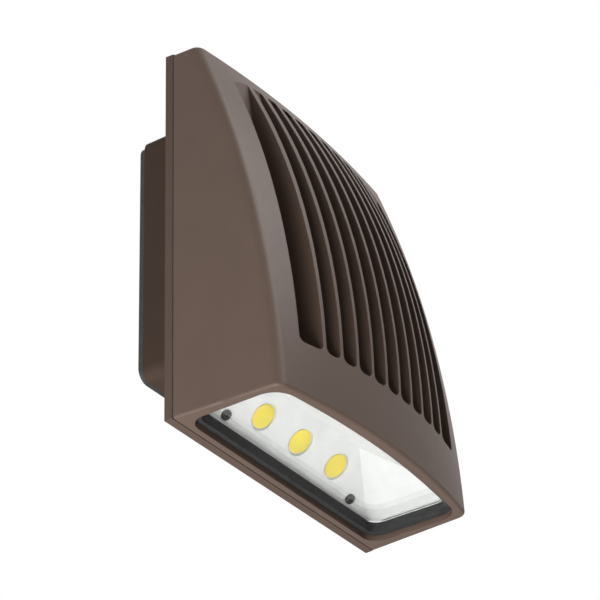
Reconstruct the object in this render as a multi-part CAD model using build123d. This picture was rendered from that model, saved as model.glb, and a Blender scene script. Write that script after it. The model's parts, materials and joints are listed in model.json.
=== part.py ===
from build123d import *
import os
from math import cos, hypot, pi, radians, sin, sqrt, tan

# LED wall pack light: a die-cast bronze door housing with cooling fins and a down-facing
# lens, hinged on a wiring box that screws to the wall or to a 4 inch junction box.
# All sizes are in millimetres. The model is built in the housing's own frame: X to the
# right, Y towards the wall, Z up, with Y = 0 on the housing's rear face and Z = 0 on its
# bottom. It is written in the frame of the wall: origin on the wall, at the box's centre.

# ---- housing casting ----
HOUSING_WIDTH = 171.0          # across the rear face
HOUSING_HEIGHT = 214.0
SIDE_DEPTH_BOTTOM = 63.2       # depth of the side faces
SIDE_DEPTH_TOP = 19.4
SIDE_BULGE = 7.8               # how far the side's front edge bows out of its chord
MID_DEPTH_BOTTOM = 71.7        # depth on the centre line
MID_DEPTH_TOP = 24.8
MID_BULGE = 18.3
SIDE_DRAFT = 3.6               # degrees that each side leans in towards the front
FRONT_CORNER = 6.0             # rounding of the upright front edges
TOP_ROUND = 2.6
BOTTOM_ROUND = 1.6
WALL = 3.0
SECTIONS = 6                   # plan sections that the casting is drawn through

# ---- fins ----
FIN_PITCH = 11.4
FIN_COUNT = 10
FIN_TIP = 1.7
FIN_DRAFT = 1.5                # degrees
SIDE_BORDER = 18.1             # plain border beside the finned field
TOP_BORDER = 9.0
FIN_BOTTOM = 29.0
FIN_CORNER = 3.6               # rounding of each gap's lower end
FLOOR_DEPTH_LOW = 46.0         # the gaps' floor, at FIN_BOTTOM
FLOOR_DEPTH_HIGH = 28.0        # the gaps' floor, at FIN_TOP

# ---- rear cover and its seal ----
COVER = 4.4
COVER_INSET = 0.3
SEAL = 0.8
SEAL_INSET = 0.7
SEAL_WIDTH = 2.2
SPIGOT = 3.0                   # rim that enters the wiring box's mouth
SPIGOT_WALL = 2.0
SPIGOT_CLEAR = 1.5
COVER_SCREW_EDGE = 7.2         # from the housing's side to a cover screw
COVER_SCREW_LOW = 30.0
COVER_SCREW_TOP_EDGE = 16.0
BOSS_R = 4.0
BOSS_LENGTH = 10.0
COVER_SCREW_LENGTH = 9.5

# ---- fasteners ----
M4_R = 2.0
M4_HEAD_R = 3.6
M4_HEAD = 2.2
M3_R = 1.5
M3_HEAD_R = 2.7
M3_HEAD = 1.8
THREAD_CLEAR = 0.05            # radial, screw in its hole
SEAT_CLEAR = 0.2               # between seated pieces
BOARD_SCREW_HEAD = 1.1
SOCKET_DEPTH = 1.2             # driving recess in a screw's head
HEAD_CHAMFER = 0.3             # share of the head's height

# ---- lens ----
LENS_SIDE_RIM = 7.0            # from the opening in the bottom to the housing's side
LENS_REAR = 8.4                # depth of the opening's rear edge
LENS_FRONT_RIM_SIDE = 3.2      # from the opening to the housing's front, at the corners
LENS_FRONT_RIM_MID = 5.7       # and on the centre line
LENS_CORNER_REAR = 9.0
LENS_CORNER_FRONT = 12.0
LIP = 3.2                      # height of the opening's bare wall, below the seal
LENS_SEAL_WIDTH = 3.0          # of the seal's step under the glass
LENS_HEIGHT = 9.0              # underside of the glass
LENS_THICKNESS = 4.0
LENS_INSET = 1.5               # the seal's wall round the glass

# ---- light engine ----
PANEL_DEPTH = 19.0             # the LED row on the reflector's panel
PANEL_HEIGHT = 23.1
PANEL_TILT = 41.7              # degrees from facing straight down, towards the front
LED_PITCH = 31.0
LED_COUNT = 3
REFLECTOR = 1.0
REFLECTOR_CLEAR = 0.2
PANEL_REAR_DEPTH = 9.2         # lowest edge of the panel
PANEL_TOP_DEPTH = 29.6         # where the panel meets the sloping ceiling
CEILING_END_DEPTH = 63.0
CEILING_END_RISE = 0.6         # above the glass
CHEEK_HALF_HIGH = 36.4         # half width of the reflector at the panel's top
LED_HOLE_R = 7.5
PHOSPHOR_R = 6.4
PHOSPHOR = 0.8
PHOSPHOR_SINK = 0.7            # below the panel's face
EMITTER = 17.0
EMITTER_THICKNESS = 1.2
BOARD_END = 4.0                # of the board, past its screws
BOARD_WIDTH = 20.0
BOARD = 1.6
PAD = 0.5
WEB = 4.0                      # casting wall that carries the LED board
BOARD_SCREW_GAP = 2.8          # from the outer emitter to the screw's head
REFLECTOR_SCREW_OUT = 8.0      # from a board screw to a reflector screw
REFLECTOR_SCREW_UP = -9.4      # along the panel, from the LED row

# ---- driver ----
DRIVER_LENGTH = 104.0
DRIVER_HEIGHT = 58.0
DRIVER_DEPTH = 22.0
DRIVER_BOTTOM = 66.0
DRIVER_ROUND = 2.0
DRIVER_EAR = 9.0
DRIVER_EAR_THICKNESS = 2.0
DRIVER_SCREW_DEPTH = 3.4

# ---- leads ----
LEAD_R = 1.2
LEAD_SPACING = 3.2
LEAD_TURN = 0.45               # share of the shorter run that each bend takes
GROMMET_R = 8.0
GROMMET_FLANGE = 1.6
GROMMET_FLANGE_R = 10.0
GROMMET_X = -16.0
GROMMET_HEIGHT = 144.0
LEAD_BOX_DEPTH = 10.0          # how far behind the cover the leads turn down
PLUG_SIZE = (14.0, 8.0, 16.0)
PLUG_TOP = 128.0
LED_LEAD_X = -38.0
LED_LEAD_RUN = 14.0
LED_LEAD_UP = 4.0
WEB_HOLE_R = 4.0

# ---- wiring box ----
BOX_WIDTH = 130.0
BOX_BOTTOM = 42.7
BOX_HEIGHT = 143.8
BOX_DEPTH = 30.0
BOX_CORNER = 7.0
BOX_WALL = 3.0
BOX_REAR_CHAMFER = 1.2
GASKET_INSET = 1.4
BOX_SEAL = 0.9
BOX_SEAL_GAP = 0.1
BOX_SEAL_INSET = 0.3
BOX_SEAL_WIDTH = 2.5
WALL_SEAL = 2.5
JBOX_SPACING = 88.9            # 3.5 inch, the ears of a 4 inch octagon box
JBOX_SLOT_LENGTH = 12.0
JBOX_SLOT_R = 2.5
WALL_HOLE_X = 100.0
WALL_HOLE_Z = 114.0
WALL_HOLE_R = 2.75
WIRE_HOLE_R = 14.0
GROUND_BOSS_X = 30.0
GROUND_BOSS_Z = 78.0
GROUND_BOSS_R = 5.0
GROUND_BOSS = 5.0

# ---- hinge and closing screws ----
HINGE_OUT = 5.0                # axis outboard of the box's side
HINGE_BACK = 5.0               # axis behind the housing's rear face
KNUCKLE_R = 4.2
HINGE_PIN_R = 2.0
PIN_EAR_CLEAR = 0.02
PIN_KNUCKLE_CLEAR = 0.08
EAR_LENGTH = 7.0
KNUCKLE_LENGTH = 12.0
HINGE_END_GAP = 0.2
HINGE_FROM_END = 30.0          # from the box's top and bottom to each hinge's middle
CLOSING_X = -48.0
CLOSING_BACK = 9.0
EAR_PLATE = 3.0
EAR_PLATE_HALF = 9.0
CLOSING_SLOT_HALF = 3.0
CLOSING_WASHER_R = 5.0
CLOSING_WASHER = 1.0
CLOSING_BOSS_R = 5.0
CLOSING_BOSS = 7.0
CLOSING_SCREW_LENGTH = 13.0

# ---- worked out from the above ----
HALF = HOUSING_WIDTH / 2
FIN_ZONE_HALF = HALF - SIDE_BORDER
FIN_TOP = HOUSING_HEIGHT - TOP_BORDER
COVER_SCREW_X = HALF - COVER_SCREW_EDGE
COVER_SCREW_Z = (COVER_SCREW_LOW, HOUSING_HEIGHT / 2, HOUSING_HEIGHT - COVER_SCREW_TOP_EDGE)
LENS_HALF = HALF - LENS_SIDE_RIM
BOARD_SCREW_X = (LED_PITCH * (LED_COUNT - 1) + EMITTER) / 2 + BOARD_SCREW_GAP + M3_HEAD_R
BOARD_LENGTH = 2 * (BOARD_SCREW_X + BOARD_END)
REFLECTOR_SCREW_X = BOARD_SCREW_X + REFLECTOR_SCREW_OUT
LENS_FRONT_SIDE = SIDE_DEPTH_BOTTOM - LENS_FRONT_RIM_SIDE
LENS_FRONT_MID = MID_DEPTH_BOTTOM - LENS_FRONT_RIM_MID
BOX_HALF = BOX_WIDTH / 2
BOX_TOP = BOX_BOTTOM + BOX_HEIGHT
BOX_MID = BOX_BOTTOM + BOX_HEIGHT / 2
BOX_FRONT = BOX_SEAL + BOX_SEAL_GAP
CASTING_REAR = -(COVER + SEAL)
HINGE_X = BOX_HALF + HINGE_OUT
WALL_Y = BOX_DEPTH + WALL_SEAL
FAR = 400.0                    # longer than any cut


def arc_depth(z, bottom, top, bulge):
    """Depth at height z of the arc from bottom to top that bows out by bulge."""
    chord = hypot(top - bottom, HOUSING_HEIGHT)
    radius = chord ** 2 / (8 * bulge) + bulge / 2
    back = radius - bulge
    centre_depth = (bottom + top) / 2 - back * HOUSING_HEIGHT / chord
    centre_z = HOUSING_HEIGHT / 2 + back * (top - bottom) / chord
    return centre_depth + sqrt(radius ** 2 - (z - centre_z) ** 2)


def side_depth(z):
    return arc_depth(z, SIDE_DEPTH_BOTTOM, SIDE_DEPTH_TOP, SIDE_BULGE)


def mid_depth(z):
    return arc_depth(z, MID_DEPTH_BOTTOM, MID_DEPTH_TOP, MID_BULGE)


def plan_section(z, inset):
    """The housing's outline at height z, moved in by inset, as a face."""
    side = side_depth(z) - inset
    rear_half = HALF - inset
    front_half = rear_half - side * tan(radians(SIDE_DRAFT))
    rear_left, rear_right = (-rear_half, 0), (rear_half, 0)
    left, right = (-front_half, -side), (front_half, -side)
    outline = Polyline(left, rear_left, rear_right, right)
    outline += ThreePointArc(right, (0, inset - mid_depth(z)), left)
    face = make_face(outline)
    corners = [v for v in face.vertices() if v.Y < -side / 2]
    face = fillet(corners, max(FRONT_CORNER - inset, FRONT_CORNER / 3))
    return Location((0, 0, z)) * face


def housing_form(inset):
    """The whole housing as a solid block, or its inside, moved in by inset."""
    low, high = inset, HOUSING_HEIGHT - inset
    step = (high - low) / (SECTIONS - 1)
    return loft([plan_section(low + i * step, inset) for i in range(SECTIONS)])


def prism_x(points, half=FAR / 2):
    """Extrude a (Y, Z) outline along X, both ways."""
    return extrude(Plane.YZ * make_face(Polyline(*points, close=True)), half, both=True)


def along_y(sketch, front, rear, taper=0.0):
    """Extrude an (X, Z) sketch from its full size at front towards rear."""
    plane = Plane((0, front, 0), x_dir=(1, 0, 0), z_dir=(0, -1, 0))
    return extrude(plane * sketch, -(rear - front), taper=taper)


def slab_y(front, rear):
    return Location((0, (front + rear) / 2, 0)) * Box(FAR, rear - front, 2 * FAR)


def rod_y(x, z, radius, front, rear):
    return Location((x, (front + rear) / 2, z), (90, 0, 0)) * Cylinder(radius, rear - front)


def rod_z(x, y, radius, low, high):
    return Location((x, y, (low + high) / 2)) * Cylinder(radius, high - low)


def screw(shank_r, length, head_r, head):
    """A screw with its head's underside at the origin and its shank along -Z."""
    shank = Location((0, 0, -length / 2)) * Cylinder(shank_r, length)
    top = Location((0, 0, head / 2)) * Cylinder(head_r, head)
    top = chamfer(top.edges().group_by(Axis.Z)[-1], head * HEAD_CHAMFER)
    socket = Location((0, 0, head - SOCKET_DEPTH / 2))
    socket *= extrude(RegularPolygon(shank_r * 0.6, 6), SOCKET_DEPTH / 2, both=True)
    return shank + top - socket


# ---------------------------------------------------------------- housing casting
PANEL_RISE = tan(radians(PANEL_TILT))
NORMAL = (0, -sin(radians(PANEL_TILT)), -cos(radians(PANEL_TILT)))
LED_PLANE = Plane((0, -PANEL_DEPTH, PANEL_HEIGHT), x_dir=(1, 0, 0), z_dir=NORMAL)
BOARD_BACK = PHOSPHOR_SINK + PHOSPHOR + EMITTER_THICKNESS + BOARD
WEB_FRONT = BOARD_BACK + PAD
GLASS_TOP = LENS_HEIGHT + LENS_THICKNESS
MOUTH_REAR_DEPTH = LENS_REAR + LENS_SEAL_WIDTH


def panel_height(depth, behind=0.0):
    """Height of the plane behind the reflector's panel, at a depth from the rear."""
    return PANEL_HEIGHT + (depth - PANEL_DEPTH) * PANEL_RISE + behind / cos(radians(PANEL_TILT))


def lens_outline(grow, rear_depth=LENS_REAR):
    left, right = (-LENS_HALF, -LENS_FRONT_SIDE), (LENS_HALF, -LENS_FRONT_SIDE)
    edge = Polyline(left, (-LENS_HALF, -rear_depth), (LENS_HALF, -rear_depth), right)
    edge += ThreePointArc(right, (0, -LENS_FRONT_MID), left)
    face = make_face(edge)
    front = [v for v in face.vertices() if v.Y < -LENS_FRONT_SIDE / 2]
    face = fillet(front, LENS_CORNER_FRONT)
    rear = [v for v in face.vertices() if v.Y > -rear_depth - 1]
    face = fillet(rear, LENS_CORNER_REAR)
    return offset(face, grow) if grow else face


def lens_prism(grow, low, high, rear_depth=LENS_REAR):
    return Location((0, 0, low)) * extrude(lens_outline(grow, rear_depth), high - low)


def optic_space(grow, low):
    """The space under the reflector's panel, ceiling and cheeks, grown by grow."""
    top = panel_height(PANEL_TOP_DEPTH)
    profile = make_face(Polyline(
        (-MOUTH_REAR_DEPTH, 0), (-MOUTH_REAR_DEPTH, GLASS_TOP),
        (-PANEL_REAR_DEPTH, panel_height(PANEL_REAR_DEPTH)),
        (-PANEL_TOP_DEPTH, top), (-CEILING_END_DEPTH, GLASS_TOP + CEILING_END_RISE),
        (-CEILING_END_DEPTH, 0), close=True))
    mouth_half = LENS_HALF - LENS_SEAL_WIDTH
    slope = (mouth_half - CHEEK_HALF_HIGH) / (top - GLASS_TOP)
    high_half = CHEEK_HALF_HIGH - slope * GLASS_TOP
    cheeks = make_face(Polyline(
        (-mouth_half, 0), (-mouth_half, GLASS_TOP), (-high_half, top + GLASS_TOP),
        (high_half, top + GLASS_TOP), (mouth_half, GLASS_TOP), (mouth_half, 0), close=True))
    if grow:
        profile = offset(profile, grow, kind=Kind.INTERSECTION)
        cheeks = offset(cheeks, grow, kind=Kind.INTERSECTION)
    space = extrude(Plane.YZ * profile, FAR / 2, both=True)
    space &= extrude(Plane.XZ * cheeks, FAR / 2, both=True)
    return space & lens_prism(grow - LENS_SEAL_WIDTH, low, HOUSING_HEIGHT / 2, 0)


def fin_gaps():
    """The pockets between the fins, open to the front, each with rounded ends."""
    floor = prism_x([(-FAR, FIN_BOTTOM), (-FLOOR_DEPTH_LOW, FIN_BOTTOM),
                     (-FLOOR_DEPTH_HIGH, FIN_TOP), (-FAR, FIN_TOP)])
    floor = fillet(floor.edges().filter_by(Axis.X).sort_by(Axis.Y)[-2:], FIN_CORNER)
    edges = [-FIN_ZONE_HALF]
    for i in range(FIN_COUNT):
        middle = (i - (FIN_COUNT - 1) / 2) * FIN_PITCH
        edges += [middle - FIN_TIP / 2, middle + FIN_TIP / 2]
    edges.append(FIN_ZONE_HALF)
    cuts = []
    for left, right in zip(edges[0::2], edges[1::2]):
        gap = Rectangle(right - left, FIN_TOP - FIN_BOTTOM)
        gap = fillet(gap.vertices(), min(FIN_CORNER, (right - left) / 2 - SEAT_CLEAR))
        gap = Location(((left + right) / 2, (FIN_TOP + FIN_BOTTOM) / 2)) * gap
        cuts.append(along_y(gap, -MID_DEPTH_BOTTOM - WALL, 0, FIN_DRAFT) & floor)
    return cuts


def cavity():
    """The driver's space behind the fins, open to the rear."""
    rise = (FLOOR_DEPTH_LOW - FLOOR_DEPTH_HIGH) / (FIN_TOP - FIN_BOTTOM)
    web_rear = WEB_FRONT + WEB
    corner = PANEL_TOP_DEPTH - web_rear * sin(radians(PANEL_TILT))
    low = FIN_BOTTOM + WALL
    low_depth = FLOOR_DEPTH_LOW - WALL
    high_depth = low_depth - rise * (HOUSING_HEIGHT - low)
    profile = [(FAR, panel_height(0, web_rear)), (0, panel_height(0, web_rear)),
               (-corner, panel_height(corner, web_rear)), (-low_depth, low),
               (-high_depth, HOUSING_HEIGHT), (FAR, HOUSING_HEIGHT)]
    return prism_x(profile) & housing_form(WALL)


def cover_screw_places():
    return [(x, z) for x in (-COVER_SCREW_X, COVER_SCREW_X) for z in COVER_SCREW_Z]


def board_screw_places():
    return [(-BOARD_SCREW_X, 0), (BOARD_SCREW_X, 0)]


def reflector_screw_places():
    return [(-REFLECTOR_SCREW_X, REFLECTOR_SCREW_UP), (REFLECTOR_SCREW_X, REFLECTOR_SCREW_UP)]


def on_panel(x, up, behind):
    """A place on the tilted light engine, with Z out of the panel."""
    return LED_PLANE.location * Location((x, up, -behind))


def panel_rod(x, up, radius, nearest, deepest):
    middle = (nearest + deepest) / 2
    return on_panel(x, up, middle) * Cylinder(radius, deepest - nearest)


def outer_form():
    block = housing_form(0)
    for end, radius in ((-1, TOP_ROUND), (0, BOTTOM_ROUND)):
        rim = [e for e in block.edges().group_by(Axis.Z)[end] if e.center().Y < -1]
        block = fillet(rim, radius)
    return block


def front_housing(form):
    body = form & slab_y(-FAR / 2, CASTING_REAR)
    body -= cavity()
    for x, z in cover_screw_places():
        body += rod_y(x, z, BOSS_R, CASTING_REAR - BOSS_LENGTH, -COVER - SEAT_CLEAR / 2)
    board_space = on_panel(0, 0, WEB_FRONT / 2)
    board_space *= Box(BOARD_LENGTH + 2 * SEAT_CLEAR, BOARD_WIDTH + 2 * SEAT_CLEAR, WEB_FRONT)
    chamber = optic_space(REFLECTOR + REFLECTOR_CLEAR, GLASS_TOP)
    chamber += lens_prism(0, -1, GLASS_TOP + REFLECTOR_CLEAR)
    body -= chamber
    body -= board_space
    for gap in fin_gaps():
        body -= gap
    for x, z in cover_screw_places():
        body -= rod_y(x, z, M4_R + THREAD_CLEAR, CASTING_REAR - BOSS_LENGTH + 2, 0)
    for x, up in board_screw_places() + reflector_screw_places():
        body -= panel_rod(x, up, M3_R + THREAD_CLEAR, 0, WEB_FRONT + WEB - 1)
    body -= panel_rod(LED_LEAD_X, LED_LEAD_UP, WEB_HOLE_R, WEB_FRONT - 1, WEB_FRONT + 2 * WEB)
    return body


def rounded(width, height, radius):
    """A rounded rectangle in X and Z, centred on the wiring box."""
    return Location((0, BOX_MID)) * RectangleRounded(width, height, radius)


def rear_cover():
    body = housing_form(COVER_INSET) & slab_y(-COVER, 0)
    edge = 2 * (BOX_WALL + SPIGOT_CLEAR)
    corner = BOX_CORNER - BOX_WALL - SPIGOT_CLEAR
    outer = rounded(BOX_WIDTH - edge, BOX_HEIGHT - edge, corner)
    inner = rounded(BOX_WIDTH - edge - 2 * SPIGOT_WALL, BOX_HEIGHT - edge - 2 * SPIGOT_WALL, 1)
    body += along_y(outer - inner, -COVER / 2, SPIGOT)
    for z in hinge_heights():
        body += rod_z(HINGE_X, HINGE_BACK, KNUCKLE_R, z - KNUCKLE_LENGTH / 2, z + KNUCKLE_LENGTH / 2)
        web = Box(KNUCKLE_R * 2, HINGE_BACK + COVER / 2, KNUCKLE_LENGTH)
        body += Location((HINGE_X, (HINGE_BACK - COVER / 2) / 2, z)) * web
    for low in closing_ear_heights():
        ear = Box(2 * EAR_PLATE_HALF, CLOSING_BACK + 5 + COVER / 2, EAR_PLATE)
        ear = Location((CLOSING_X, (CLOSING_BACK + 5 - COVER / 2) / 2, low + EAR_PLATE / 2)) * ear
        ear -= rod_z(CLOSING_X, CLOSING_BACK, CLOSING_SLOT_HALF, low - 1, low + EAR_PLATE + 1)
        way_out = Box(2 * CLOSING_SLOT_HALF, 10, EAR_PLATE + 2)
        ear -= Location((CLOSING_X, CLOSING_BACK + 5, low + EAR_PLATE / 2)) * way_out
        body += ear
    for z in hinge_heights():
        body -= rod_z(HINGE_X, HINGE_BACK, HINGE_PIN_R + PIN_KNUCKLE_CLEAR, z - 10, z + 10)
    for x, z in cover_screw_places():
        body -= rod_y(x, z, M4_R + SEAT_CLEAR, -2 * COVER, COVER)
        body -= rod_y(x, z, M4_HEAD_R + SEAT_CLEAR, -M4_HEAD - SEAT_CLEAR, COVER)
    body -= rod_y(GROMMET_X, GROMMET_HEIGHT, GROMMET_R, -2 * COVER, COVER)
    for x, z in driver_screw_places():
        body -= rod_y(x, z, M3_R + THREAD_CLEAR, -2 * COVER, -COVER + DRIVER_SCREW_DEPTH)
    return body


def cover_seal():
    outer = Rectangle(HOUSING_WIDTH - 2 * SEAL_INSET, HOUSING_HEIGHT - 2 * SEAL_INSET)
    grown = 2 * (SEAL_INSET + SEAL_WIDTH)
    ring = outer - Rectangle(HOUSING_WIDTH - grown, HOUSING_HEIGHT - grown)
    return along_y(Location((0, HOUSING_HEIGHT / 2)) * ring, CASTING_REAR, -COVER)


def facing(x, y, z, turn):
    """Place a screw so that its head points along +Y (-90) or -Y (90) or Z (0, 180)."""
    return Location((x, y, z), (turn, 0, 0))


def cover_screws():
    one = screw(M4_R, COVER_SCREW_LENGTH, M4_HEAD_R, M4_HEAD)
    return Compound([facing(x, -M4_HEAD - SEAT_CLEAR, z, -90) * one
                     for x, z in cover_screw_places()])


def lens_seal():
    ring = lens_prism(-SEAT_CLEAR, LIP, GLASS_TOP) - lens_prism(-LENS_SEAL_WIDTH, 0, GLASS_TOP)
    return ring - lens_prism(-LENS_INSET, LENS_HEIGHT, GLASS_TOP + 1)


def lens():
    return lens_prism(-LENS_INSET - SEAT_CLEAR / 2, LENS_HEIGHT, GLASS_TOP)


def reflector():
    body = optic_space(REFLECTOR, GLASS_TOP + SEAT_CLEAR / 2) - optic_space(0, GLASS_TOP - 1)
    for x in led_places():
        body -= panel_rod(x, 0, LED_HOLE_R, -1, REFLECTOR + 1)
    for x, up in reflector_screw_places():
        body -= panel_rod(x, up, M3_R + SEAT_CLEAR, -1, REFLECTOR + 1)
    return body


def reflector_screws():
    one = screw(M3_R, WEB_FRONT + WEB - 2, M3_HEAD_R, M3_HEAD)
    return Compound([on_panel(x, up, 0) * one for x, up in reflector_screw_places()])


def led_places():
    return [(i - (LED_COUNT - 1) / 2) * LED_PITCH for i in range(LED_COUNT)]


def light_engine():
    """The LED board on its pad, the emitters and their phosphor discs."""
    emitter_front = PHOSPHOR_SINK + PHOSPHOR
    board_front = emitter_front + EMITTER_THICKNESS
    board = on_panel(0, 0, board_front + BOARD / 2) * Box(BOARD_LENGTH, BOARD_WIDTH, BOARD)
    pad = on_panel(0, 0, BOARD_BACK + PAD / 2)
    pad *= Box(BOARD_LENGTH - 2, BOARD_WIDTH - 2, PAD)
    for x, up in board_screw_places():
        board -= panel_rod(x, up, M3_R + SEAT_CLEAR, 0, WEB_FRONT)
        pad -= panel_rod(x, up, M3_R + SEAT_CLEAR, 0, 2 * WEB_FRONT)
    pad -= panel_rod(LED_LEAD_X, LED_LEAD_UP, WEB_HOLE_R, 0, 2 * WEB_FRONT)
    middle = emitter_front + EMITTER_THICKNESS / 2
    base = extrude(RectangleRounded(EMITTER, EMITTER, 1), EMITTER_THICKNESS / 2, both=True)
    emitters = Compound([on_panel(x, 0, middle) * base for x in led_places()])
    discs = [panel_rod(x, 0, PHOSPHOR_R, PHOSPHOR_SINK, emitter_front) for x in led_places()]
    return board, pad, emitters, Compound(discs)


def board_screws():
    one = screw(M3_R, BOARD + PAD + WEB - 2, M3_HEAD_R, BOARD_SCREW_HEAD)
    board_front = BOARD_BACK - BOARD
    return Compound([on_panel(x, up, board_front) * one for x, up in board_screw_places()])


def driver_screw_places():
    out = DRIVER_LENGTH / 2 + DRIVER_EAR / 2
    middle = DRIVER_BOTTOM + DRIVER_HEIGHT / 2
    return [(-out, middle), (out, middle)]


def driver():
    middle = DRIVER_BOTTOM + DRIVER_HEIGHT / 2
    case = Box(DRIVER_LENGTH, DRIVER_DEPTH, DRIVER_HEIGHT)
    case = fillet(case.edges().filter_by(Axis.X), DRIVER_ROUND)
    case = Location((0, -COVER - DRIVER_DEPTH / 2, middle)) * case
    ear = RectangleRounded(DRIVER_LENGTH + 2 * DRIVER_EAR, DRIVER_HEIGHT / 3, DRIVER_ROUND)
    case += along_y(Location((0, middle)) * ear, -COVER - DRIVER_EAR_THICKNESS, -COVER)
    for x, z in driver_screw_places():
        case -= rod_y(x, z, M3_R + SEAT_CLEAR, -3 * COVER, 0)
    return case


def driver_screws():
    one = screw(M3_R, DRIVER_EAR_THICKNESS + DRIVER_SCREW_DEPTH - SEAT_CLEAR, M3_HEAD_R, M3_HEAD)
    head_y = -COVER - DRIVER_EAR_THICKNESS
    return Compound([facing(x, head_y, z, 90) * one for x, z in driver_screw_places()])


def lead(*points):
    """A round lead along a path of straight runs joined by arcs as large as they allow."""
    points = [Vector(*point) for point in points]
    radii = []
    for before, corner, after in zip(points, points[1:], points[2:]):
        into, out = corner - before, after - corner
        half_turn = radians(into.get_angle(out) / 2)
        radii.append(LEAD_TURN * min(into.length, out.length) / tan(half_turn))
    path = FilletPolyline(*points, radius=radii)
    tube = sweep(Plane(origin=path @ 0, z_dir=path % 0) * Circle(LEAD_R), path)
    section = pi * LEAD_R ** 2
    print("lead", round(path.length, 1), [round(r, 1) for r in radii],
          "volume / section x length", round(tube.volume / (section * path.length), 4))
    return tube


def supply_lead(index):
    x = GROMMET_X + index * LEAD_SPACING
    inside = -COVER - DRIVER_DEPTH / 2
    top = DRIVER_BOTTOM + DRIVER_HEIGHT
    return lead((x, inside, top), (x, inside, GROMMET_HEIGHT),
                (x, LEAD_BOX_DEPTH, GROMMET_HEIGHT), (x, LEAD_BOX_DEPTH, PLUG_TOP))


def led_lead(index):
    x = LED_LEAD_X + index * LEAD_SPACING / 2
    end = LED_PLANE.from_local_coords((x, LED_LEAD_UP, -BOARD_BACK))
    bend = LED_PLANE.from_local_coords((x, LED_LEAD_UP, -BOARD_BACK - LED_LEAD_RUN))
    return lead((x, bend.Y, DRIVER_BOTTOM), bend, end)


def grommet():
    body = rod_y(GROMMET_X, GROMMET_HEIGHT, GROMMET_R - SEAT_CLEAR / 2, -COVER, 0)
    body += rod_y(GROMMET_X, GROMMET_HEIGHT, GROMMET_FLANGE_R, 0, GROMMET_FLANGE)
    body += rod_y(GROMMET_X, GROMMET_HEIGHT, GROMMET_FLANGE_R, -COVER - GROMMET_FLANGE, -COVER)
    for i in (-1, 0, 1):
        x = GROMMET_X + i * LEAD_SPACING
        body -= rod_y(x, GROMMET_HEIGHT, LEAD_R + THREAD_CLEAR, -2 * COVER, COVER)
    return body


def supply_plug():
    width, depth, height = PLUG_SIZE
    body = Box(width, depth, height)
    body = fillet(body.edges().filter_by(Axis.Z), 1)
    rim = Location((0, 0, -height / 2 + 1.5)) * Box(width + 1.6, depth + 1.6, 3)
    return Location((GROMMET_X, LEAD_BOX_DEPTH, PLUG_TOP - height / 2)) * (body + rim)


# ---------------------------------------------------------------- wiring box
def hinge_heights():
    return [BOX_BOTTOM + HINGE_FROM_END, BOX_TOP - HINGE_FROM_END]


def closing_ear_heights():
    return [BOX_BOTTOM - SEAT_CLEAR - EAR_PLATE, BOX_TOP + SEAT_CLEAR]


def wall_openings(front, rear):
    """The wire entry, the junction box slots and the wall holes, as one cutter."""
    cut = rod_y(0, BOX_MID, WIRE_HOLE_R, front, rear)
    slot = SlotOverall(JBOX_SLOT_LENGTH, 2 * JBOX_SLOT_R)
    for side in (-1, 1):
        place = Location((side * JBOX_SPACING / 2, BOX_MID))
        cut += along_y(place * slot, front, rear)
        for up in (-1, 1):
            x, z = side * WALL_HOLE_X / 2, BOX_MID + up * WALL_HOLE_Z / 2
            cut += rod_y(x, z, WALL_HOLE_R, front, rear)
    return cut


def back_box():
    body = along_y(rounded(BOX_WIDTH, BOX_HEIGHT, BOX_CORNER), BOX_FRONT, BOX_DEPTH)
    rear_edges = body.faces().sort_by(Axis.Y)[-1].edges()
    body = chamfer(rear_edges, BOX_REAR_CHAMFER)
    inside = rounded(BOX_WIDTH - 2 * BOX_WALL, BOX_HEIGHT - 2 * BOX_WALL, BOX_CORNER - BOX_WALL)
    body -= along_y(inside, 0, BOX_DEPTH - BOX_WALL)
    for z in hinge_heights():
        for side in (-1, 1):
            near = z + side * (KNUCKLE_LENGTH / 2 + HINGE_END_GAP)
            low, high = sorted((near, near + side * EAR_LENGTH))
            ear = rod_z(HINGE_X, HINGE_BACK, KNUCKLE_R, low, high)
            arm = Box(HINGE_OUT, 2 * KNUCKLE_R, EAR_LENGTH)
            middle = HINGE_X - HINGE_OUT / 2 - SEAT_CLEAR / 2
            ear += Location((middle, HINGE_BACK, (low + high) / 2)) * arm
            body += ear - rod_z(HINGE_X, HINGE_BACK, HINGE_PIN_R + PIN_EAR_CLEAR, low - 1, high + 1)
    for up in (-1, 1):
        outer = BOX_MID + up * (BOX_HEIGHT / 2 - 1)
        inner = outer - up * (BOX_WALL + CLOSING_BOSS - 1)
        low, high = sorted((outer, inner))
        body += rod_z(CLOSING_X, CLOSING_BACK, CLOSING_BOSS_R, low, high)
        low, high = sorted((outer + up * 5, inner - up * 0.5))
        body -= rod_z(CLOSING_X, CLOSING_BACK, M4_R + THREAD_CLEAR, low, high)
    floor = BOX_DEPTH - BOX_WALL
    body += rod_y(GROUND_BOSS_X, GROUND_BOSS_Z, GROUND_BOSS_R, floor - GROUND_BOSS, floor + 1)
    body -= rod_y(GROUND_BOSS_X, GROUND_BOSS_Z, M4_R + THREAD_CLEAR, 0, floor)
    return body - wall_openings(floor - 1, BOX_DEPTH + 1)


def wall_gasket():
    pad = rounded(BOX_WIDTH - 2 * GASKET_INSET, BOX_HEIGHT - 2 * GASKET_INSET, BOX_CORNER)
    return along_y(pad, BOX_DEPTH, WALL_Y) - wall_openings(BOX_DEPTH - 1, WALL_Y + 1)


def box_seal():
    near, far = BOX_SEAL_INSET, BOX_SEAL_INSET + BOX_SEAL_WIDTH
    ring = rounded(BOX_WIDTH - 2 * near, BOX_HEIGHT - 2 * near, BOX_CORNER - near)
    ring -= rounded(BOX_WIDTH - 2 * far, BOX_HEIGHT - 2 * far, BOX_CORNER - far)
    return along_y(ring, BOX_SEAL_GAP, BOX_FRONT)


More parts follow.
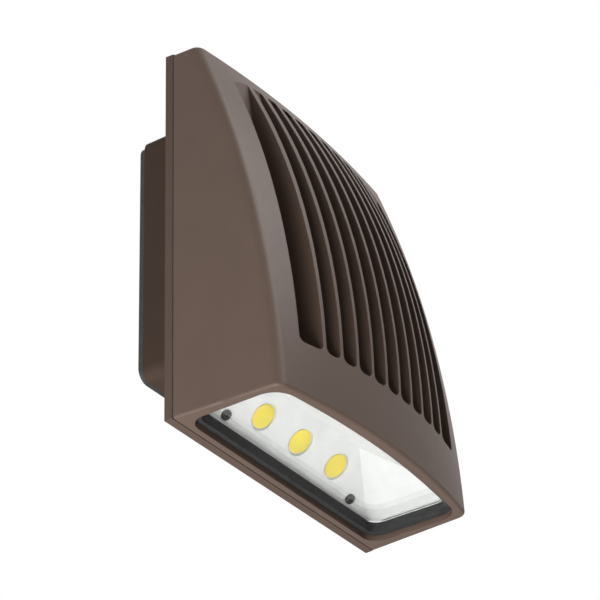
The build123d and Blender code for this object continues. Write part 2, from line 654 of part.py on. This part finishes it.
def closing_screws():
    one = screw(M4_R, CLOSING_SCREW_LENGTH, M4_HEAD_R, M4_HEAD)
    below = BOX_BOTTOM - 2 * SEAT_CLEAR - EAR_PLATE - CLOSING_WASHER
    above = BOX_TOP + 2 * SEAT_CLEAR + EAR_PLATE + CLOSING_WASHER
    return Compound([facing(CLOSING_X, CLOSING_BACK, below, 180) * one,
                     facing(CLOSING_X, CLOSING_BACK, above, 0) * one])


def closing_washers():
    rings = []
    for middle in (BOX_BOTTOM - 2 * SEAT_CLEAR - EAR_PLATE - CLOSING_WASHER / 2,
                   BOX_TOP + 2 * SEAT_CLEAR + EAR_PLATE + CLOSING_WASHER / 2):
        low, high = middle - CLOSING_WASHER / 2, middle + CLOSING_WASHER / 2
        ring = rod_z(CLOSING_X, CLOSING_BACK, CLOSING_WASHER_R, low, high)
        rings.append(ring - rod_z(CLOSING_X, CLOSING_BACK, M4_R + THREAD_CLEAR, low - 1, high + 1))
    return Compound(rings)


def hinge_pins():
    half = KNUCKLE_LENGTH / 2 + HINGE_END_GAP + EAR_LENGTH
    pins = [rod_z(HINGE_X, HINGE_BACK, HINGE_PIN_R, z - half, z + half) for z in hinge_heights()]
    return Compound([chamfer(pin.edges(), 0.4) for pin in pins])


def ground_screw():
    one = screw(M4_R, GROUND_BOSS, M4_HEAD_R, M4_HEAD)
    head_y = BOX_DEPTH - BOX_WALL - GROUND_BOSS - SEAT_CLEAR
    return facing(GROUND_BOSS_X, head_y, GROUND_BOSS_Z, 90) * one


# ---------------------------------------------------------------- write
led_board, thermal_pad, led_emitters, led_phosphors = light_engine()
PARTS = {
    "back_box": back_box(),
    "wall_gasket": wall_gasket(),
    "box_seal": box_seal(),
    "hinge_pins": hinge_pins(),
    "closing_screws": closing_screws(),
    "closing_washers": closing_washers(),
    "ground_screw": ground_screw(),
    "front_housing": front_housing(outer_form()),
    "rear_cover": rear_cover(),
    "cover_seal": cover_seal(),
    "cover_screws": cover_screws(),
    "lens_seal": lens_seal(),
    "lens": lens(),
    "reflector": reflector(),
    "reflector_screws": reflector_screws(),
    "led_board": led_board,
    "thermal_pad": thermal_pad,
    "led_emitters": led_emitters,
    "led_phosphors": led_phosphors,
    "board_screws": board_screws(),
    "driver": driver(),
    "driver_screws": driver_screws(),
    "lead_line": supply_lead(-1),
    "lead_neutral": supply_lead(0),
    "lead_ground": supply_lead(1),
    "led_lead_plus": led_lead(-1),
    "led_lead_minus": led_lead(1),
    "grommet": grommet(),
    "supply_plug": supply_plug(),
}
os.makedirs("parts", exist_ok=True)
for name, shape in PARTS.items():
    export_step(Location((0, -WALL_Y, -BOX_MID)) * shape, f"parts/{name}.step")
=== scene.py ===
import json
import math

import bpy
from mathutils import Matrix, Vector


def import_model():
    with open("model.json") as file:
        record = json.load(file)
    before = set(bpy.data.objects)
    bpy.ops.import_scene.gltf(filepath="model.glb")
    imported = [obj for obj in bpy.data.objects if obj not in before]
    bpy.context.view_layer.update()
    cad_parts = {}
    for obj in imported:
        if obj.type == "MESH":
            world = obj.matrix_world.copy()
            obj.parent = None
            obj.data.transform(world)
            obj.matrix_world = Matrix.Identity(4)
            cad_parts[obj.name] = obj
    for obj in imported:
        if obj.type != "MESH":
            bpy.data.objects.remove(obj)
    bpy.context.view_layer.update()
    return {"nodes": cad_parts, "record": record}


# Lengths are in metres and angles in degrees. X runs to the right, Y into the wall, Z up.
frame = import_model()

BEVEL_SAMPLES = 6
EDGE_ANGLE_RANGE = (0.002, 0.12)   # 1 - cosine, from a flat to a fully sharp edge

FLOOR_HEIGHT = -1.9
FLOOR_HALF = 40
FLOOR_GLOW = 0.62                  # emission where the floor is seen
AMBIENT = 0.08                     # the world's light on things
LAMP_AIM = Vector((0, -0.06, 0))

CAMERA_AZIMUTH = 56.203            # to the light's left
CAMERA_BELOW = 32.379
CAMERA_ROLL = -1.636
CAMERA_AIM = Vector((0, -0.0625, -0.0076))
CAMERA_SIDE, CAMERA_RISE, CAMERA_DISTANCE = -0.00753, -0.007357, 1.31342   # from its aim
CAMERA_LENS, CAMERA_SENSOR = 156, 36
CAMERA_SHIFT = (0.0007, 0.0021)


# ---------------------------------------------------------------- node helpers
def map_range(nodes, links, value, source, target):
    node = nodes.new("ShaderNodeMapRange")
    for key, number in zip(("From Min", "From Max", "To Min", "To Max"), (*source, *target)):
        node.inputs[key].default_value = number
    links.new(value, node.inputs["Value"])
    return node.outputs["Result"]


def seen_rays(nodes, links):
    """1 for camera, glossy and transmission rays, 0 for the rays that light things."""
    path = nodes.new("ShaderNodeLightPath")
    seen = path.outputs["Is Camera Ray"]
    for name in ("Is Glossy Ray", "Is Transmission Ray"):
        either = nodes.new("ShaderNodeMath")
        either.operation = "MAXIMUM"
        links.new(seen, either.inputs[0])
        links.new(path.outputs[name], either.inputs[1])
        seen = either.outputs[0]
    return seen


class Shader:
    """A material's node tree, with a Principled BSDF and short ways to add nodes."""

    def __init__(self, name):
        self.material = bpy.data.materials.new(name)
        self.material.use_nodes = True
        self.nodes = self.material.node_tree.nodes
        self.links = self.material.node_tree.links
        self.bsdf = self.nodes["Principled BSDF"]
        self.place = self.add("ShaderNodeTexCoord").outputs["Object"]

    def add(self, kind, **values):
        """A new node with its inputs, or else its properties, set by name."""
        node = self.nodes.new(kind)
        for key, value in values.items():
            if key in node.inputs:
                node.inputs[key].default_value = value
            else:
                setattr(node, key, value)
        return node

    def link(self, out, into):
        self.links.new(out, into)

    def feed(self, out, socket):
        """Link a value to an input of the Principled BSDF."""
        self.link(out, self.bsdf.inputs[socket])

    def set(self, **values):
        """Set inputs of the Principled BSDF that are the same all over."""
        for key, value in values.items():
            self.bsdf.inputs[key.replace("_", " ")].default_value = value

    def noise(self, scale, detail=3.0, rough=0.55, stretch=(1, 1, 1)):
        node = self.add("ShaderNodeTexNoise", Scale=scale, Detail=detail, Roughness=rough)
        mapping = self.add("ShaderNodeMapping", Scale=stretch)
        self.link(self.place, mapping.inputs["Vector"])
        self.link(mapping.outputs["Vector"], node.inputs["Vector"])
        return node.outputs["Fac"]

    def ramp(self, value, source, target):
        return map_range(self.nodes, self.links, value, source, target)

    def mix(self, factor, first, second):
        node = self.add("ShaderNodeMix", data_type="RGBA")
        self.link(factor, node.inputs[0])
        for socket, colour in ((node.inputs[6], first), (node.inputs[7], second)):
            if isinstance(colour, tuple):
                socket.default_value = (*colour, 1)
            else:
                self.link(colour, socket)
        return node.outputs[2]

    def edge(self, radius):
        """1 on sharp edges, 0 on flats, and the rounded normal that shows them."""
        bevel = self.add("ShaderNodeBevel", Radius=radius)
        bevel.samples = BEVEL_SAMPLES
        flat = self.add("ShaderNodeNewGeometry").outputs["Normal"]
        dot = self.add("ShaderNodeVectorMath", operation="DOT_PRODUCT")
        self.link(bevel.outputs["Normal"], dot.inputs[0])
        self.link(flat, dot.inputs[1])
        low, high = EDGE_ANGLE_RANGE
        sharp = self.ramp(dot.outputs["Value"], (1 - high, 1 - low), (1, 0))
        return sharp, bevel.outputs["Normal"]

    def bump(self, height, distance, strength, normal):
        node = self.add("ShaderNodeBump", Distance=distance, Strength=strength)
        self.link(height, node.inputs["Height"])
        self.link(normal, node.inputs["Normal"])
        self.feed(node.outputs["Normal"], "Normal")


# ---------------------------------------------------------------- colours
def shade(colour, gain):
    return tuple(channel * gain for channel in colour)


def srgb(red, green, blue):
    """Linear colour from 0-255 screen values."""
    def linear(value):
        value /= 255
        return value / 12.92 if value < 0.04045 else ((value + 0.055) / 1.055) ** 2.4
    return linear(red), linear(green), linear(blue)


# ---------------------------------------------------------------- kinds of finish
def powder_coat(name, colour, rough=0.46, gloss=0.3):
    """Powder coat: orange peel, faint mottling and specks, and edges painted a little paler,
    partly as wear and partly as a painted highlight.
    """
    s = Shader(name)
    mottle = s.ramp(s.noise(scale=45, detail=4), (0.35, 0.65), (0, 1))
    body = s.mix(mottle, shade(colour, 0.97), shade(colour, 1.03))
    speck = s.ramp(s.noise(scale=2600, detail=1), (0.60, 0.72), (0, 0.35))
    body = s.mix(speck, body, shade(colour, 1.35))
    edge, rounded = s.edge(radius=0.0006)
    # Paler sharp edges: part wear, part painted highlight.
    wear_and_highlight = s.add("ShaderNodeMath", operation="MULTIPLY")
    s.link(edge, wear_and_highlight.inputs[0])
    s.link(s.ramp(s.noise(scale=160), (0.35, 0.7), (0.15, 0.6)), wear_and_highlight.inputs[1])
    s.feed(s.mix(wear_and_highlight.outputs[0], body, shade(colour, 1.12)), "Base Color")
    s.feed(s.ramp(s.noise(scale=600, detail=2), (0.3, 0.7), (rough - 0.02, rough + 0.03)),
           "Roughness")
    s.set(Specular_IOR_Level=gloss)
    orange_peel = s.noise(scale=1400, detail=2, rough=0.6)
    s.bump(orange_peel, distance=0.00004, strength=0.35, normal=rounded)
    return s.material


def rubber(name, colour, rough=0.62):
    """Matt moulded rubber, clouded and finely grained."""
    s = Shader(name)
    cloud = s.ramp(s.noise(scale=300, detail=4), (0.3, 0.7), (0, 1))
    s.feed(s.mix(cloud, shade(colour, 0.8), shade(colour, 1.5)), "Base Color")
    s.feed(s.ramp(s.noise(scale=500, detail=2), (0.3, 0.7), (rough - 0.08, rough + 0.1)),
           "Roughness")
    s.bump(s.noise(scale=1800), distance=0.00004, strength=0.5, normal=s.edge(0.0003)[1])
    return s.material


def steel(name, colour, rough=0.32):
    """Turned stainless steel with fine drawn lines."""
    s = Shader(name)
    lines = s.noise(scale=900, rough=0.6, stretch=(1, 1, 9))
    s.feed(s.mix(lines, shade(colour, 0.8), shade(colour, 1.1)), "Base Color")
    s.feed(s.ramp(lines, (0.3, 0.7), (rough - 0.08, rough + 0.12)), "Roughness")
    s.set(Metallic=1.0)
    s.bump(lines, distance=0.00002, strength=0.4, normal=s.edge(0.0002)[1])
    return s.material


def plastic(name, colour, rough=0.45, grain=1200, coat=0.0):
    """Smooth plastic, enamel or lacquer, a little uneven in colour and gloss."""
    s = Shader(name)
    cloud = s.ramp(s.noise(scale=120), (0.3, 0.7), (0, 1))
    s.feed(s.mix(cloud, shade(colour, 0.95), shade(colour, 1.04)), "Base Color")
    s.feed(s.ramp(s.noise(scale=400, detail=2), (0.3, 0.7), (rough - 0.05, rough + 0.07)),
           "Roughness")
    s.set(Coat_Weight=coat, Coat_Roughness=0.08)
    s.bump(s.noise(scale=grain, detail=2), distance=0.00003, strength=0.4,
           normal=s.edge(0.0003)[1])
    return s.material


def clear_glass(name, colour, shadow):
    """Flat clear glass that lets part of the lamps' light straight through."""
    s = Shader(name)
    s.set(Base_Color=(*colour, 1), Roughness=0.0, IOR=1.5, Transmission_Weight=1.0)
    shadow_ray = s.add("ShaderNodeLightPath").outputs["Is Shadow Ray"]
    s.feed(s.ramp(shadow_ray, (0, 1), (1, shadow)), "Alpha")
    return s.material


# ---------------------------------------------------------------- the light's finishes
BRONZE = srgb(100, 82, 72)
RECIPES = {
    "housing_paint": (powder_coat, BRONZE, {}),
    # The wiring box wears the housing's bronze darkened to half: painted shade.
    "box_paint": (powder_coat, shade(BRONZE, 0.5), {"rough": 0.6, "gloss": 0.08}),
    # The cover wears the housing's bronze darkened to 0.84: painted shade.
    "cover_paint": (powder_coat, shade(BRONZE, 0.84), {"rough": 0.5, "gloss": 0.2}),
    "black_rubber": (rubber, (0.02, 0.021, 0.021), {}),
    "lens_glass": (clear_glass, (0.985, 0.995, 0.99), {"shadow": 0.73}),
    "white_enamel": (plastic, (0.82, 0.82, 0.81), {"rough": 0.2, "grain": 900}),
    "steel": (steel, (0.62, 0.62, 0.61), {}),
    "dark_screw": (plastic, (0.03, 0.028, 0.027), {"rough": 0.4, "grain": 1500}),
    "board_white": (plastic, (0.86, 0.86, 0.84), {"rough": 0.35, "grain": 800}),
    "emitter_frame": (plastic, (0.88, 0.87, 0.82), {"rough": 0.3, "grain": 900, "coat": 0.5}),
    "phosphor": (plastic, srgb(250, 226, 24), {"rough": 0.5, "grain": 2500, "coat": 0.1}),
    "pad_grey": (rubber, (0.3, 0.32, 0.35), {}),
    "driver_case": (plastic, (0.02, 0.02, 0.021), {"rough": 0.5, "grain": 600}),
    "lead_black": (plastic, (0.012, 0.012, 0.012), {"rough": 0.35}),
    "lead_white": (plastic, (0.8, 0.8, 0.78), {"rough": 0.35}),
    "lead_green": (plastic, (0.01, 0.2, 0.05), {"rough": 0.35}),
    "lead_red": (plastic, (0.45, 0.01, 0.01), {"rough": 0.35}),
    "plug_white": (plastic, (0.82, 0.81, 0.77), {"rough": 0.4}),
    "ground_green": (steel, (0.05, 0.42, 0.13), {"rough": 0.35}),
}
FINISHES = {name: kind(name, colour, **values)
            for name, (kind, colour, values) in RECIPES.items()}

finish_of = {part["node"]: part["material_slot"] for part in frame["record"]["subparts"]}
finish_of["rear_cover"] = "cover_paint"     # painted shade: the housing's bronze darkened, paler than the wiring box, whose slot it has
for node, thing in frame["nodes"].items():
    thing.data.materials.clear()
    thing.data.materials.append(FINISHES[finish_of[node]])


# ---------------------------------------------------------------- floor, world and lamps
def pale_floor():
    """A plain floor, pale where it is seen, that keeps shadows."""
    corners = [(x * FLOOR_HALF, y * FLOOR_HALF, FLOOR_HEIGHT)
               for x, y in ((-1, -1), (1, -1), (1, 1), (-1, 1))]
    mesh = bpy.data.meshes.new("floor")
    mesh.from_pydata(corners, [], [(0, 1, 2, 3)])
    floor = bpy.data.objects.new("floor", mesh)
    bpy.context.collection.objects.link(floor)
    s = Shader("floor")
    s.feed(s.mix(s.noise(scale=3, detail=2), (0.86, 0.86, 0.86), (0.9, 0.9, 0.9)), "Base Color")
    s.set(Roughness=0.8, Specular_IOR_Level=0.0, Emission_Color=(1, 1, 1, 1))
    s.feed(s.ramp(seen_rays(s.nodes, s.links), (0, 1), (0, FLOOR_GLOW)), "Emission Strength")
    mesh.materials.append(s.material)


def world(ambient):
    """White where it is seen, also in gloss and glass; a plain soft light otherwise."""
    sky = bpy.data.worlds.new("studio")
    sky.use_nodes = True
    nodes, links = sky.node_tree.nodes, sky.node_tree.links
    back = nodes["Background"]
    back.inputs["Color"].default_value = (1, 1, 1, 1)
    strength = map_range(nodes, links, seen_rays(nodes, links), (0, 1), (ambient, 1))
    links.new(strength, back.inputs["Strength"])
    bpy.context.scene.world = sky


def direction(azimuth, elevation):
    """Unit vector away from the light; azimuth 0 is straight in front, negative to its left."""
    turn, rise = math.radians(azimuth), math.radians(elevation)
    return Vector((math.sin(turn) * math.cos(rise), -math.cos(turn) * math.cos(rise),
                   math.sin(rise)))


def softbox(name, azimuth, elevation, distance, size, power):
    """A square area lamp that faces the light."""
    way = direction(azimuth, elevation)
    lamp = bpy.data.lights.new(name, "AREA")
    lamp.size, lamp.energy = size, power
    thing = bpy.data.objects.new(name, lamp)
    thing.location = LAMP_AIM + way * distance
    thing.rotation_euler = way.to_track_quat("Z", "Y").to_euler()
    bpy.context.collection.objects.link(thing)


pale_floor()
world(AMBIENT)
softbox("key", azimuth=3, elevation=48, distance=1.0, size=0.55, power=6.1)
softbox("side", azimuth=-108, elevation=0, distance=1.6, size=1.0, power=2.5)
softbox("below", azimuth=-88, elevation=-58, distance=1.2, size=0.8, power=17.5)


# ---------------------------------------------------------------- camera
def camera():
    """The photograph's viewpoint: from the light's lower left, looking up."""
    back = direction(-CAMERA_AZIMUTH, -CAMERA_BELOW)
    turn, roll = math.radians(CAMERA_AZIMUTH), math.radians(CAMERA_ROLL)
    level = Vector((math.cos(turn), -math.sin(turn), 0))
    up = back.cross(level)
    side = level * math.cos(roll) + up * math.sin(roll)
    top = up * math.cos(roll) - level * math.sin(roll)
    place = CAMERA_AIM + side * CAMERA_SIDE + top * CAMERA_RISE + back * CAMERA_DISTANCE
    lens = bpy.data.cameras.new("camera")
    lens.sensor_width, lens.lens = CAMERA_SENSOR, CAMERA_LENS
    lens.shift_x, lens.shift_y = CAMERA_SHIFT
    thing = bpy.data.objects.new("camera", lens)
    axes = Matrix((side, top, back)).transposed().to_4x4()
    thing.matrix_world = Matrix.Translation(place) @ axes
    bpy.context.collection.objects.link(thing)
    bpy.context.scene.camera = thing


camera()
bpy.context.scene.view_settings.view_transform = "Standard"
